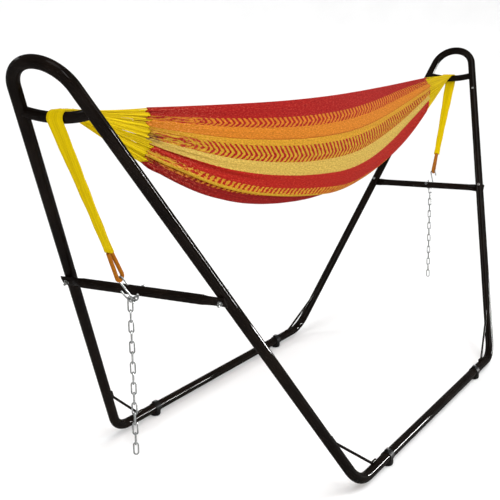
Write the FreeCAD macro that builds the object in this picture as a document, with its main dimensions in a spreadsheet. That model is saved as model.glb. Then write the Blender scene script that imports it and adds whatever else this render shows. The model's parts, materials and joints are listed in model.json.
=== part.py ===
"""Hammock on a steel tube stand, as a parametric document of separate pieces.

Frame of the part: millimetres, +Z up, +X along the stand, origin on the floor under its middle.
End "a" is at -X and end "b" at +X.  Each end frame is an A of tube that leans outwards; a place in
it is given as (across, up, out): across is Y, up is measured along the leaning plane from the axis
of the base tubes, and out is measured square to that plane, away from the hammock.
"""
import FreeCAD, Part
import math
import os

import Sketcher
from FreeCAD import Matrix, Placement, Rotation, Vector

ENDS = {"a": -1, "b": 1}
SIDES = {"left": 1, "right": -1}
UP = Vector(0, 0, 1)
ACROSS = Vector(0, 1, 0)

doc = FreeCAD.newDocument("hammock_on_stand")
sheet = doc.addObject("Spreadsheet::Sheet", "dims")

DIMENSIONS = (
    ("tube_diameter", 38.0, "legs, arch heads and base tubes"),
    ("tube_wall", 1.5, "wall of every tube"),
    ("spigot_gap", 0.1, "radial gap of a swaged end inside its socket"),
    ("spigot_length", 70.0, "length of a swaged end"),
    ("bar_diameter", 32.0, "crossbars and saddle bars"),
    ("foot_height", 15.0, "clearance under the base tubes"),
    ("half_base", 790.0, "half length between the corners of the base"),
    ("half_width", 519.0, "half distance between the base tubes"),
    ("lean", 33.0, "outward lean of an end frame, degrees"),
    ("converge", 14.25, "inward slant of a leg in its frame, degrees"),
    ("elbow_radius", 135.0, "centreline radius of an elbow"),
    ("arch_radius", 107.0, "centreline radius of an arch head"),
    ("joint_x", 520.0, "distance of the base joints from the middle"),
    ("seam_up", 1425.0, "height of the leg and arch seam, up the frame"),
    ("saddle_up", 1537.0, "lowest point of a saddle bar, up the frame"),
    ("saddle_radius", 380.0, "sag radius of a saddle bar"),
    ("crossbar_up", 893.0, "crossbar axis, up the frame"),
    ("crossbar_out", 23.6, "crossbar axis, out from the legs' axes"),
    ("crossbar_tab_past", 17.0, "flattened end past the leg's axis"),
    ("crossbar_tab_height", 40.0, "height of a flattened end"),
    ("crossbar_tab_thick", 9.0, "thickness of a flattened end"),
    ("crossbar_tab_run", 26.0, "flat length inboard of the leg's axis"),
    ("crossbar_taper", 38.0, "length of the taper from round to flat"),
    ("brace_diameter", 10.0, "corner brace rod"),
    ("brace_on_leg", 192.0, "brace bend, up the leg from the corner"),
    ("brace_on_base", 128.0, "brace bend, along the base from the corner"),
    ("brace_tail", 34.0, "welded tail of a brace, with half its bend"),
    ("brace_bend", 14.0, "bend radius of a brace"),
    ("foot_radius", 22.0, "radius of a foot's dome"),
    ("foot_pad", 12.0, "radius of the flat under a foot"),
    ("foot_band", 2.6, "thickness of the band round the tube"),
    ("foot_band_width", 34.0, "width of the band"),
    ("foot_lug_length", 27.0, "raised lug on the band"),
    ("foot_lug_width", 15.0, "width of the lug"),
    ("foot_lug_height", 5.0, "lug above the band"),
    ("bolt_diameter", 8.0, "crossbar bolts"),
    ("bolt_flats", 13.0, "hexagon of an M8"),
    ("eye_thread", 6.0, "thread of an eye bolt"),
    ("eye_flats", 10.0, "hexagon of an M6"),
    ("eye_wire", 6.0, "wire of an eye"),
    ("eye_radius", 8.5, "centreline radius of an eye"),
    ("screw_diameter", 6.0, "arch head screws and foot screws"),
    ("hole_gap", 0.2, "radial gap of a bolt in its hole"),
    ("link_wire", 5.0, "chain wire"),
    ("link_inside", 33.5, "inside length of a link"),
    ("link_width", 9.5, "inside width of a link"),
    ("link_gap", 0.3, "gap between linked wires"),
    ("tail_turn", 30.0, "turn of the loose chain about its length, degrees"),
    ("hook_wire", 6.0, "S-hook wire"),
    ("hook_radius", 11.5, "centreline radius of an S-hook's bends"),
    ("hook_shank", 60.0, "straight shank of an S-hook"),
    ("hook_tip", 22.0, "straight tip of an S-hook"),
    ("rope_thick", 11.0, "cord bundle over the saddle bar"),
    ("rope_width", 56.0, "width of that bundle"),
    ("rope_gap", 1.2, "gap between the bundle and the sagging bar"),
    ("wrap_diameter", 13.0, "one leg of the wrapped loop"),
    ("wrap_length", 112.0, "length of the wrapped loop"),
    ("bed_half", 1254.0, "half length of the hammock's bed"),
    ("bed_rim", 1308.0, "height of the bed's rims at the middle"),
    ("bed_rim_end", 1330.0, "height of the rims at the bed's ends"),
    ("bed_bottom", 893.0, "lowest point of the bed"),
    ("bed_end_depth", 165.0, "depth of the bed at its ends"),
    ("bed_half_open", 110.0, "half width of the bed's mouth"),
    ("bed_end_half", 30.0, "half width of the bed at its ends"),
    ("bed_thick", 14.0, "thickness of the gathered weave"),
)


def fill_sheet():
    for row, (alias, value, note) in enumerate(DIMENSIONS, start=1):
        sheet.set("A%d" % row, alias)
        sheet.set("B%d" % row, str(value))
        sheet.set("C%d" % row, note)
        sheet.setAlias("B%d" % row, alias)
    doc.recompute()


fill_sheet()


def dim(alias):
    return float(sheet.get(alias))


# ---------------------------------------------------------------- places in the leaning frames

LEAN = math.radians(dim("lean"))
CONVERGE = math.radians(dim("converge"))
TUBE_R = dim("tube_diameter") / 2
BORE_R = TUBE_R - dim("tube_wall")
BAR_R = dim("bar_diameter") / 2
BASE_Z = TUBE_R + dim("foot_height")


def frame_up(end):
    return Vector(end * math.sin(LEAN), 0, math.cos(LEAN))


def frame_out(end):
    return Vector(end * math.cos(LEAN), 0, -math.sin(LEAN))


def in_frame(end, across, up, out=0.0):
    corner = Vector(end * dim("half_base"), across, BASE_Z)
    return corner + frame_up(end) * up + frame_out(end) * out


def leg_direction(end, side):
    return frame_up(end) * math.cos(CONVERGE) - ACROSS * (side * math.sin(CONVERGE))


def leg_across(up):
    return dim("half_width") - up * math.tan(CONVERGE)


def axes(origin, x_axis, y_axis):
    """Placement whose local X and Y point along the two given square directions."""
    x_axis = Vector(x_axis).normalize()
    z_axis = x_axis.cross(y_axis).normalize()
    y_axis = z_axis.cross(x_axis)
    return Placement(Matrix(
        x_axis.x, y_axis.x, z_axis.x, origin.x,
        x_axis.y, y_axis.y, z_axis.y, origin.y,
        x_axis.z, y_axis.z, z_axis.z, origin.z,
        0, 0, 0, 1))


def along_z(origin, z_axis):
    """Placement whose local Z points along the given direction."""
    return Placement(origin, Rotation(UP, z_axis))


# ---------------------------------------------------------------- document helpers

finished = []


def finish(label, piece):
    piece.Label = label
    finished.append(piece)
    return piece


def bind(target, path, expression):
    target.setExpression(path, expression)


def new_body(name):
    return doc.addObject("PartDesign::Body", name)


def origin_plane(body, role):
    return next(plane for plane in body.Origin.OriginFeatures if plane.Role == role)


def sketch_on(body, role, name, offset=0.0):
    sketch = body.newObject("Sketcher::SketchObject", name)
    sketch.AttachmentSupport = (origin_plane(body, role), [""])
    sketch.MapMode = "FlatFace"
    sketch.AttachmentOffset = Placement(Vector(0, 0, offset), Rotation())
    return sketch


def circle_in(sketch, expression, value):
    index = sketch.addGeometry(Part.Circle(Vector(), Vector(0, 0, 1), value / 2))
    sketch.addConstraint(Sketcher.Constraint("Coincident", index, 3, -1, 1))
    row = sketch.addConstraint(Sketcher.Constraint("Diameter", index, value))
    bind(sketch, "Constraints[%d]" % row, expression)
    return index


def line_run(length, expression=None):
    return ("line", length, expression)


def bend(radius, turn, expression=None):
    return ("arc", radius, turn, expression)


def path_in(sketch, steps):
    """Chain of lines and tangent arcs from the sketch's origin, starting along its X axis."""
    point = Vector(0, 0, 0)
    heading = 0.0
    leave = None
    for step in steps:
        if step[0] == "line":
            _, length, expression = step
            target = point + Vector(math.cos(heading), math.sin(heading), 0) * length
            index = sketch.addGeometry(Part.LineSegment(point, target))
            enter, away = 1, 2
            row = sketch.addConstraint(Sketcher.Constraint("Distance", index, length))
        else:
            _, radius, turn, expression = step
            sign = 1 if turn > 0 else -1
            centre = point + Vector(-math.sin(heading), math.cos(heading), 0) * (sign * radius)
            first = heading - sign * math.pi / 2
            last = first + turn
            low, high = (first, last) if sign > 0 else (last, first)
            circle = Part.Circle(centre, Vector(0, 0, 1), radius)
            index = sketch.addGeometry(Part.ArcOfCircle(circle, low, high))
            enter, away = (1, 2) if sign > 0 else (2, 1)
            target = centre + Vector(math.cos(last), math.sin(last), 0) * radius
            heading += turn
            sketch.addConstraint(Sketcher.Constraint("Angle", index, abs(turn)))
            row = sketch.addConstraint(Sketcher.Constraint("Radius", index, radius))
        if expression:
            bind(sketch, "Constraints[%d]" % row, expression)
        if leave is None:
            sketch.addConstraint(Sketcher.Constraint("Coincident", index, enter, -1, 1))
            if step[0] == "line":
                sketch.addConstraint(Sketcher.Constraint("Horizontal", index))
            else:
                sketch.addConstraint(Sketcher.Constraint("PointOnObject", index, 3, -2))
        else:
            sketch.addConstraint(Sketcher.Constraint("Tangent", leave[0], leave[1], index, enter))
        leave = (index, away)
        point = target


def sweep(body, name, spine, expression, value, cut=False):
    """A round sweep along a spine sketch that starts at the body's origin along its X axis."""
    profile = sketch_on(body, "YZ_Plane", name + "_profile")
    circle_in(profile, expression, value)
    kind = "PartDesign::SubtractivePipe" if cut else "PartDesign::AdditivePipe"
    pipe = body.newObject(kind, name)
    pipe.Profile = profile
    pipe.Spine = (spine, [])
    return pipe


def ring_pad(body, name, outer, inner, length, reverse):
    """An annular pad from the body's YZ plane, for a swaged end."""
    sketch = sketch_on(body, "YZ_Plane", name + "_profile")
    circle_in(sketch, outer[0], outer[1])
    circle_in(sketch, inner[0], inner[1])
    pad = body.newObject("PartDesign::Pad", name)
    pad.Profile = sketch
    pad.Length = length[1]
    bind(pad, "Length", length[0])
    pad.Reversed = reverse
    return pad


SPIGOT = ("dims.tube_diameter - 2 * dims.tube_wall - 2 * dims.spigot_gap",
          2 * (BORE_R - dim("spigot_gap")))
SPIGOT_BORE = ("dims.tube_diameter - 4 * dims.tube_wall - 2 * dims.spigot_gap",
               2 * (BORE_R - dim("spigot_gap") - dim("tube_wall")))
SHOULDER = ("dims.tube_diameter - dims.tube_wall", 2 * TUBE_R - dim("tube_wall"))
SHOULDER_LENGTH = ("dims.tube_wall * 3", 3 * dim("tube_wall"))


def tube(name, steps, swaged=False, diameter="tube_diameter"):
    """A hollow tube along a path, with a swaged spigot at its start where asked."""
    body = new_body(name)
    spine = sketch_on(body, "XY_Plane", name + "_spine")
    path_in(spine, steps)
    sweep(body, name + "_outside", spine, "dims." + diameter, dim(diameter))
    bore = "dims.%s - 2 * dims.tube_wall" % diameter
    sweep(body, name + "_bore", spine, bore, dim(diameter) - 2 * dim("tube_wall"), cut=True)
    if swaged:
        length = ("dims.spigot_length", dim("spigot_length"))
        ring_pad(body, name + "_shoulder", SHOULDER, SPIGOT_BORE, SHOULDER_LENGTH, False)
        ring_pad(body, name + "_spigot", SPIGOT, SPIGOT_BORE, length, True)
    return body


def cylinder(name, radius, length, placement, diameter_cell=None):
    piece = doc.addObject("Part::Cylinder", name)
    piece.Radius = radius
    piece.Height = length
    if diameter_cell:
        bind(piece, "Radius", diameter_cell)
    piece.Placement = placement
    return piece


def hexagon(name, flats, height, placement, flats_cell):
    piece = doc.addObject("Part::Prism", name)
    piece.Polygon = 6
    piece.Circumradius = flats / math.sqrt(3)
    piece.Height = height
    bind(piece, "Circumradius", "%s / sqrt(3)" % flats_cell)
    piece.Placement = placement
    return piece


def fuse(name, pieces):
    joined = doc.addObject("Part::MultiFuse", name)
    joined.Shapes = pieces
    return joined


def cut(name, base, tools):
    result = doc.addObject("Part::Cut", name)
    result.Base = base
    result.Tool = tools[0] if len(tools) == 1 else fuse(name + "_tools", tools)
    return result


def group(name, pieces):
    compound = doc.addObject("Part::Compound", name)
    compound.Links = pieces
    return compound


def drill(name, centre, direction, reach_back, reach_on, bolt_cell):
    """A hole cutter along a direction, for a bolt whose diameter is in the given cell."""
    radius = dim(bolt_cell) / 2 + dim("hole_gap")
    placement = along_z(centre - direction * reach_back, direction)
    cell = "dims.%s / 2 + dims.hole_gap" % bolt_cell
    return cylinder(name, radius, reach_back + reach_on, placement, cell)


# ---------------------------------------------------------------- end frames and base

COS_THETA = -math.sin(LEAN) * math.cos(CONVERGE)
ELBOW_TURN = math.pi - math.acos(COS_THETA)
ELBOW_TANGENT = dim("elbow_radius") * math.tan(ELBOW_TURN / 2)
SEAM_ALONG = dim("seam_up") / math.cos(CONVERGE)
ARCH_CENTRE_UP = (dim("half_width") - dim("arch_radius") / math.cos(CONVERGE)) / math.tan(CONVERGE)
ARCH_TANGENT_UP = ARCH_CENTRE_UP + dim("arch_radius") * math.sin(CONVERGE)
ARCH_STRAIGHT = ARCH_TANGENT_UP / math.cos(CONVERGE) - SEAM_ALONG
ARCH_TURN = math.pi - 2 * CONVERGE
SCREW_UP = dim("seam_up") + 42.0


def leg_point(end, side, up, out=0.0):
    return in_frame(end, side * leg_across(up), up, out)


def make_leg(end_name, end, side_name, side):
    name = "leg_%s_%s" % (end_name, side_name)
    stub = dim("half_base") - dim("joint_x")
    steps = [line_run(SEAM_ALONG - ELBOW_TANGENT),
             bend(dim("elbow_radius"), ELBOW_TURN, "dims.elbow_radius"),
             line_run(stub - ELBOW_TANGENT)]
    body = tube(name + "_tube", steps, swaged=True)
    down = leg_direction(end, side) * -1
    body.Placement = axes(leg_point(end, side, dim("seam_up")), down, Vector(-end, 0, 0))
    out = frame_out(end)
    holes = [drill(name + "_bolt_hole", leg_point(end, side, dim("crossbar_up")), out,
                   TUBE_R + 5, TUBE_R + 5, "bolt_diameter"),
             drill(name + "_screw_hole", leg_point(end, side, SCREW_UP), out * -1,
                   0, TUBE_R + 5, "screw_diameter"),
             drill(name + "_foot_hole", Vector(end * (dim("joint_x") + 10), side * dim("half_width"),
                                               BASE_Z), UP, TUBE_R + 5, TUBE_R + 5, "screw_diameter")]
    return finish(name, cut(name + "_cut", body, holes))


def make_arch_head(end_name, end):
    name = "arch_head_%s" % end_name
    steps = [line_run(ARCH_STRAIGHT),
             bend(dim("arch_radius"), ARCH_TURN, "dims.arch_radius"),
             line_run(ARCH_STRAIGHT)]
    body = tube(name + "_tube", steps)
    body.Placement = axes(leg_point(end, -1, dim("seam_up")), leg_direction(end, -1), ACROSS)
    holes = [drill("%s_screw_hole_%s" % (name, side_name), leg_point(end, side, SCREW_UP),
                   frame_out(end) * -1, 0, TUBE_R + 5, "screw_diameter")
             for side_name, side in SIDES.items()]
    return finish(name, cut(name + "_cut", body, holes))


def make_saddle_bar(end_name, end):
    """The sagging bar under an arch head, coped to the tubes that it is welded between."""
    name = "saddle_bar_%s" % end_name
    radius = dim("saddle_radius")
    reach = leg_across(dim("saddle_up"))
    half_turn = math.asin(reach / radius)
    body = tube(name + "_tube", [bend(radius, 2 * half_turn, "dims.saddle_radius")],
                diameter="bar_diameter")
    rise = radius * (1 - math.cos(half_turn))
    start = in_frame(end, -reach, dim("saddle_up") + rise)
    up = frame_up(end)
    heading = ACROSS * math.cos(half_turn) - up * math.sin(half_turn)
    body.Placement = axes(start, heading, up)
    copes = []
    for side_name, side in SIDES.items():
        direction = leg_direction(end, side)
        base = leg_point(end, side, dim("saddle_up")) - direction * 60
        copes.append(cylinder("%s_cope_%s" % (name, side_name), TUBE_R + 0.05, 140.0,
                              along_z(base, direction), "dims.tube_diameter / 2 + 0.05"))
    return finish(name, cut(name + "_cut", body, copes))


def make_base_tube(side_name, side):
    name = "base_tube_%s" % side_name
    length = 2 * dim("joint_x")
    body = tube(name + "_tube", [line_run(length, "2 * dims.joint_x")], swaged=True)
    body.Placement = axes(Vector(-dim("joint_x"), side * dim("half_width"), BASE_Z),
                          Vector(1, 0, 0), ACROSS)
    spigot_r = SPIGOT[1] / 2
    spigot_bore_r = SPIGOT_BORE[1] / 2
    far_end = along_z(Vector(dim("joint_x") - SHOULDER_LENGTH[1], side * dim("half_width"), BASE_Z),
                      Vector(1, 0, 0))
    far_tube = cylinder(name + "_far_shoulder", SHOULDER[1] / 2, SHOULDER_LENGTH[1], far_end)
    far_spigot = cylinder(name + "_far_spigot", spigot_r,
                          SHOULDER_LENGTH[1] + dim("spigot_length"), far_end)
    far_bore = cylinder(name + "_far_bore", spigot_bore_r,
                        SHOULDER_LENGTH[1] + dim("spigot_length") + 5, far_end)
    whole = fuse(name + "_whole", [body, far_tube, far_spigot])
    holes = [far_bore]
    for end_name, end in ENDS.items():
        centre = Vector(end * (dim("joint_x") + 10), side * dim("half_width"), BASE_Z)
        holes.append(drill("%s_foot_hole_%s" % (name, end_name), centre, UP,
                           TUBE_R + 5, TUBE_R + 5, "screw_diameter"))
    return finish(name, cut(name + "_cut", whole, holes))


def make_corner_brace(end_name, end, side_name, side):
    """A bent rod in the plane of the elbow, its tails lying on the leg and on the stub."""
    name = "corner_brace_%s_%s" % (end_name, side_name)
    inward = Vector(-end, 0, 0)
    leg = leg_direction(end, side)
    corner = Vector(end * dim("half_base"), side * dim("half_width"), BASE_Z)
    clear = TUBE_R + dim("brace_diameter") / 2 + 0.05
    leg_normal = (inward - leg * inward.dot(leg)).normalize()
    base_normal = (leg - inward * leg.dot(inward)).normalize()
    top = corner + leg * dim("brace_on_leg") + leg_normal * clear
    bottom = corner + inward * dim("brace_on_base") + base_normal * clear
    span = bottom - top
    turn_top = (leg * -1).getAngle(span)
    turn_bottom = span.getAngle(inward)
    take_top = dim("brace_bend") * math.tan(turn_top / 2)
    take_bottom = dim("brace_bend") * math.tan(turn_bottom / 2)
    body = new_body(name)
    spine = sketch_on(body, "XY_Plane", name + "_spine")
    path_in(spine, [line_run(dim("brace_tail") - take_top),
                    bend(dim("brace_bend"), turn_top, "dims.brace_bend"),
                    line_run(span.Length - take_top - take_bottom),
                    bend(dim("brace_bend"), turn_bottom, "dims.brace_bend"),
                    line_run(dim("brace_tail") - take_bottom)])
    sweep(body, name + "_rod", spine, "dims.brace_diameter", dim("brace_diameter"))
    body.Placement = axes(top + leg * dim("brace_tail"), leg * -1, inward)
    return finish(name, body)


# ---------------------------------------------------------------- crossbars and their fasteners


def ellipse_in(sketch, half_width, half_height):
    """An ellipse round the sketch's origin, its long axis on the sketch's Y."""
    sketch.addGeometry(Part.Ellipse(Vector(0, half_height, 0), Vector(half_width, 0, 0), Vector()))


TAPER_STEP = 0.15


def make_crossbar(end_name, end):
    """A round tube whose ends are pressed flat where they are bolted to the legs."""
    name = "crossbar_%s" % end_name
    bolt_across = leg_across(dim("crossbar_up"))
    half_round = bolt_across - dim("crossbar_tab_run") - dim("crossbar_taper")
    flat_start = bolt_across - dim("crossbar_tab_run")
    half_length = bolt_across + dim("crossbar_tab_past")
    body = new_body(name + "_bar")
    middle = sketch_on(body, "YZ_Plane", name + "_round")
    circle_in(middle, "dims.bar_diameter", dim("bar_diameter"))
    pad = body.newObject("PartDesign::Pad", name + "_middle")
    pad.Profile = middle
    pad.Length = 2 * half_round
    pad.Midplane = True
    for mark, side in (("p", 1), ("n", -1)):
        round_face = sketch_on(body, "YZ_Plane", "%s_round_%s" % (name, mark), side * half_round)
        ellipse_in(round_face, BAR_R - 2 * TAPER_STEP, BAR_R - TAPER_STEP)
        flat_face = sketch_on(body, "YZ_Plane", "%s_flat_%s" % (name, mark), side * flat_start)
        ellipse_in(flat_face, dim("crossbar_tab_thick") / 2, dim("crossbar_tab_height") / 2)
        taper = body.newObject("PartDesign::AdditiveLoft", "%s_taper_%s" % (name, mark))
        taper.Profile = round_face
        taper.Sections = [flat_face]
        tab_face = sketch_on(body, "YZ_Plane", "%s_tab_%s" % (name, mark), side * flat_start)
        ellipse_in(tab_face, dim("crossbar_tab_thick") / 2, dim("crossbar_tab_height") / 2)
        tab = body.newObject("PartDesign::Pad", "%s_tab_pad_%s" % (name, mark))
        tab.Profile = tab_face
        tab.Length = half_length - flat_start
        tab.Reversed = side < 0
    centre = in_frame(end, 0, dim("crossbar_up"), dim("crossbar_out"))
    body.Placement = axes(centre, ACROSS, frame_out(end))
    bore = cylinder(name + "_bore", BAR_R - dim("tube_wall"), 2 * half_round,
                    along_z(centre - ACROSS * half_round, ACROSS),
                    "dims.bar_diameter / 2 - dims.tube_wall")
    cutters = [bore, drill(name + "_eye_hole", centre, frame_out(end), 30, 30, "eye_thread")]
    for side_name, side in SIDES.items():
        place = centre + ACROSS * (side * bolt_across)
        cutters.append(drill("%s_bolt_hole_%s" % (name, side_name), place, frame_out(end),
                             15, 15, "bolt_diameter"))
    return finish(name, cut(name + "_cut", body, cutters))


def washer(name, bolt_cell, outer_radius, thick, base, direction):
    bore_cell = "dims.%s / 2 + dims.hole_gap" % bolt_cell
    disc = cylinder(name + "_disc", outer_radius, thick, along_z(base, direction))
    hole = cylinder(name + "_hole", dim(bolt_cell) / 2 + dim("hole_gap"), thick + 2,
                    along_z(base - direction, direction), bore_cell)
    return cut(name, disc, [hole])


def nut(name, bolt_cell, flats_cell, thick, base, direction):
    block = hexagon(name + "_block", dim(flats_cell), thick, along_z(base, direction),
                    "dims." + flats_cell)
    corners = cylinder(name + "_turned", dim(flats_cell) * 0.56, thick, along_z(base, direction),
                       "dims.%s * 0.56" % flats_cell)
    blank = doc.addObject("Part::Common", name + "_blank")
    blank.Base = block
    blank.Tool = corners
    hole = cylinder(name + "_hole", dim(bolt_cell) / 2 + 0.05, thick + 2,
                    along_z(base - direction, direction), "dims.%s / 2 + 0.05" % bolt_cell)
    return cut(name, blank, [hole])


BOLT_HEAD = 5.5
NUT_THICK = 6.5
WASHER_THICK = 1.6
WASHER_RADIUS = 8.5
BOLT_PAST = 7.0


def make_crossbar_bolts(end_name, end):
    """Two hexagon bolts through legs and flattened ends, heads inside and nuts outside."""
    out = frame_out(end)
    pieces = []
    tab_face = dim("crossbar_out") + dim("crossbar_tab_thick") / 2 + 0.05
    for side_name, side in SIDES.items():
        name = "crossbar_bolt_%s_%s" % (end_name, side_name)
        centre = leg_point(end, side, dim("crossbar_up"))
        head_base = centre - out * (TUBE_R + 0.05)
        head = hexagon(name + "_head", dim("bolt_flats"), BOLT_HEAD, along_z(head_base, out * -1),
                       "dims.bolt_flats")
        length = TUBE_R + tab_face + WASHER_THICK + NUT_THICK + BOLT_PAST
        shank = cylinder(name + "_shank", dim("bolt_diameter") / 2, length,
                         along_z(head_base, out), "dims.bolt_diameter / 2")
        pieces.append(fuse(name, [head, shank]))
        face = centre + out * tab_face
        pieces.append(washer(name + "_washer", "bolt_diameter", WASHER_RADIUS, WASHER_THICK,
                             face, out))
        pieces.append(nut(name + "_nut", "bolt_diameter", "bolt_flats", NUT_THICK,
                          face + out * (WASHER_THICK + 0.02), out))
    return finish("crossbar_bolts_%s" % end_name, group("crossbar_bolts_%s" % end_name, pieces))


def make_arch_screws(end_name, end):
    """Two round-head screws that hold an arch head on the legs' swaged ends."""
    inner = frame_out(end) * -1
    pieces = []
    for side_name, side in SIDES.items():
        name = "arch_screw_%s_%s" % (end_name, side_name)
        centre = leg_point(end, side, SCREW_UP)
        shank = cylinder(name + "_shank", dim("screw_diameter") / 2, 14.0,
                         along_z(centre + inner * (TUBE_R - 12), inner), "dims.screw_diameter / 2")
        rim = cylinder(name + "_rim", dim("screw_diameter"), 1.5,
                       along_z(centre + inner * (TUBE_R + 0.05), inner), "dims.screw_diameter")
        dome = doc.addObject("Part::Cone", name + "_dome")
        dome.Radius1 = dim("screw_diameter")
        dome.Radius2 = dim("screw_diameter") / 2
        dome.Height = 2.5
        bind(dome, "Radius1", "dims.screw_diameter")
        bind(dome, "Radius2", "dims.screw_diameter / 2")
        dome.Placement = along_z(centre + inner * (TUBE_R + 1.55), inner)
        pieces.append(fuse(name, [shank, rim, dome]))
    return finish("arch_screws_%s" % end_name, group("arch_screws_%s" % end_name, pieces))


# ---------------------------------------------------------------- feet


def make_foot(end_name, end, side_name, side):
    """A moulded foot: a dome under the base joint, a band round the tube and a lug on top."""
    name = "foot_%s_%s" % (end_name, side_name)
    x = end * (dim("joint_x") + 10)
    y = side * dim("half_width")
    body = new_body(name + "_dome")
    profile = sketch_on(body, "XZ_Plane", name + "_profile")
    wide = dim("foot_radius")
    flat = dim("foot_pad")
    round_r = wide - flat
    lines = [(Vector(0, 0, 0), Vector(flat, 0, 0)),
             (Vector(wide, round_r, 0), Vector(wide, BASE_Z, 0)),
             (Vector(wide, BASE_Z, 0), Vector(0, BASE_Z, 0)),
             (Vector(0, BASE_Z, 0), Vector(0, 0, 0))]
    for first, last in lines:
        profile.addGeometry(Part.LineSegment(first, last))
    corner = Part.Circle(Vector(flat, round_r, 0), Vector(0, 0, 1), round_r)
    profile.addGeometry(Part.ArcOfCircle(corner, -math.pi / 2, 0))
    for first, last in (((0, 2), (4, 1)), ((4, 2), (1, 1)), ((1, 2), (2, 1)), ((2, 2), (3, 1)),
                        ((3, 2), (0, 1))):
        profile.addConstraint(Sketcher.Constraint("Coincident", *first, *last))
    profile.addConstraint(Sketcher.Constraint("Coincident", 0, 1, -1, 1))
    profile.addConstraint(Sketcher.Constraint("Horizontal", 0))
    profile.addConstraint(Sketcher.Constraint("Vertical", 1))
    profile.addConstraint(Sketcher.Constraint("Horizontal", 2))
    profile.addConstraint(Sketcher.Constraint("Vertical", 3))
    row = profile.addConstraint(Sketcher.Constraint("Distance", 0, flat))
    bind(profile, "Constraints[%d]" % row, "dims.foot_pad")
    row = profile.addConstraint(Sketcher.Constraint("Distance", 2, wide))
    bind(profile, "Constraints[%d]" % row, "dims.foot_radius")
    dome = body.newObject("PartDesign::Revolution", name + "_revolution")
    dome.Profile = profile
    dome.ReferenceAxis = (profile, ["V_Axis"])
    dome.Angle = 360.0
    body.Placement = Placement(Vector(x, y, 0), Rotation())
    band_r = TUBE_R + dim("foot_band")
    half_band = dim("foot_band_width") / 2
    band = cylinder(name + "_band", band_r, 2 * half_band,
                    along_z(Vector(x - half_band, y, BASE_Z), Vector(1, 0, 0)),
                    "dims.tube_diameter / 2 + dims.foot_band")
    lug = doc.addObject("Part::Box", name + "_lug")
    for path, cell in (("Length", "foot_lug_length"), ("Width", "foot_lug_width")):
        bind(lug, path, "dims." + cell)
    bind(lug, "Height", "dims.tube_diameter / 2 + dims.foot_band + dims.foot_lug_height")
    lug.Placement = Placement(Vector(x - dim("foot_lug_length") / 2, y - dim("foot_lug_width") / 2,
                                     BASE_Z), Rotation())
    whole = fuse(name + "_whole", [body, band, lug])
    bore = cylinder(name + "_bore", TUBE_R + 0.05, 4 * half_band,
                    along_z(Vector(x - 2 * half_band, y, BASE_Z), Vector(1, 0, 0)),
                    "dims.tube_diameter / 2 + 0.05")
    screw = drill(name + "_screw_hole", Vector(x, y, BASE_Z), UP, BASE_Z - 4, band_r + 10,
                  "screw_diameter")
    return finish(name, cut(name + "_cut", whole, [bore, screw]))


def make_foot_screws():
    """Four screws down through lug, tubes and foot, with pan heads on the lugs."""
    pieces = []
    top = BASE_Z + TUBE_R + dim("foot_band") + dim("foot_lug_height")
    for end_name, end in ENDS.items():
        for side_name, side in SIDES.items():
            name = "foot_screw_%s_%s" % (end_name, side_name)
            place = Vector(end * (dim("joint_x") + 10), side * dim("half_width"), 0)
            shank = cylinder(name + "_shank", dim("screw_diameter") / 2, top + 1.0 - 6.0,
                             along_z(place + UP * 6.0, UP), "dims.screw_diameter / 2")
            head = cylinder(name + "_head", dim("screw_diameter") * 0.9, 3.0,
                            along_z(place + UP * (top + 0.02), UP), "dims.screw_diameter * 0.9")
            pieces.append(fuse(name, [shank, head]))
    return finish("foot_screws", group("foot_screws", pieces))


# ---------------------------------------------------------------- eye bolts, chain and S-hooks

EYE_NUT = 5.0
EYE_WASHER = 1.5
EYE_OUT = dim("crossbar_out") + BAR_R + EYE_NUT + 0.4 + dim("eye_wire") / 2 + dim("eye_radius")
LINK_HALF = (dim("link_inside") + dim("link_wire")) / 2
LINK_SIDE = (dim("link_width") + dim("link_wire")) / 2
PULL_OUT = math.radians(31.0)
PULL = (math.sin(PULL_OUT), math.cos(PULL_OUT))


def eye_local(end, out, up):
    """A place given from the crossbar's own level in the frame's middle plane."""
    return in_frame(end, 0, dim("crossbar_up") + up, out)


def make_eye_bolt(end_name, end):
    """A closed eye on a threaded shank that passes through the crossbar."""
    name = "eye_bolt_%s" % end_name
    out = frame_out(end)
    ring = doc.addObject("Part::Torus", name + "_ring")
    bind(ring, "Radius1", "dims.eye_radius")
    bind(ring, "Radius2", "dims.eye_wire / 2")
    ring.Placement = along_z(eye_local(end, EYE_OUT, 0), out.cross(ACROSS))
    inner_face = dim("crossbar_out") - BAR_R
    start = inner_face - EYE_WASHER - EYE_NUT - 5.0
    shank = cylinder(name + "_shank", dim("eye_thread") / 2, EYE_OUT - dim("eye_radius") - start,
                     along_z(eye_local(end, start, 0), out), "dims.eye_thread / 2")
    return finish(name, fuse(name + "_whole", [ring, shank]))


def make_eye_nuts(end_name, end):
    """The nut and shaped washer inside the crossbar and the nut outside it."""
    name = "eye_nuts_%s" % end_name
    out = frame_out(end)
    inner_face = dim("crossbar_out") - BAR_R - 0.05
    outer_face = dim("crossbar_out") + BAR_R + 0.05
    pieces = [washer(name + "_washer", "eye_thread", 7.5, EYE_WASHER,
                     eye_local(end, inner_face, 0), out * -1),
              nut(name + "_inner", "eye_thread", "eye_flats", EYE_NUT,
                  eye_local(end, inner_face - EYE_WASHER - 0.02, 0), out * -1),
              nut(name + "_outer", "eye_thread", "eye_flats", EYE_NUT,
                  eye_local(end, outer_face, 0), out)]
    return finish(name, group(name, pieces))


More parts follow.
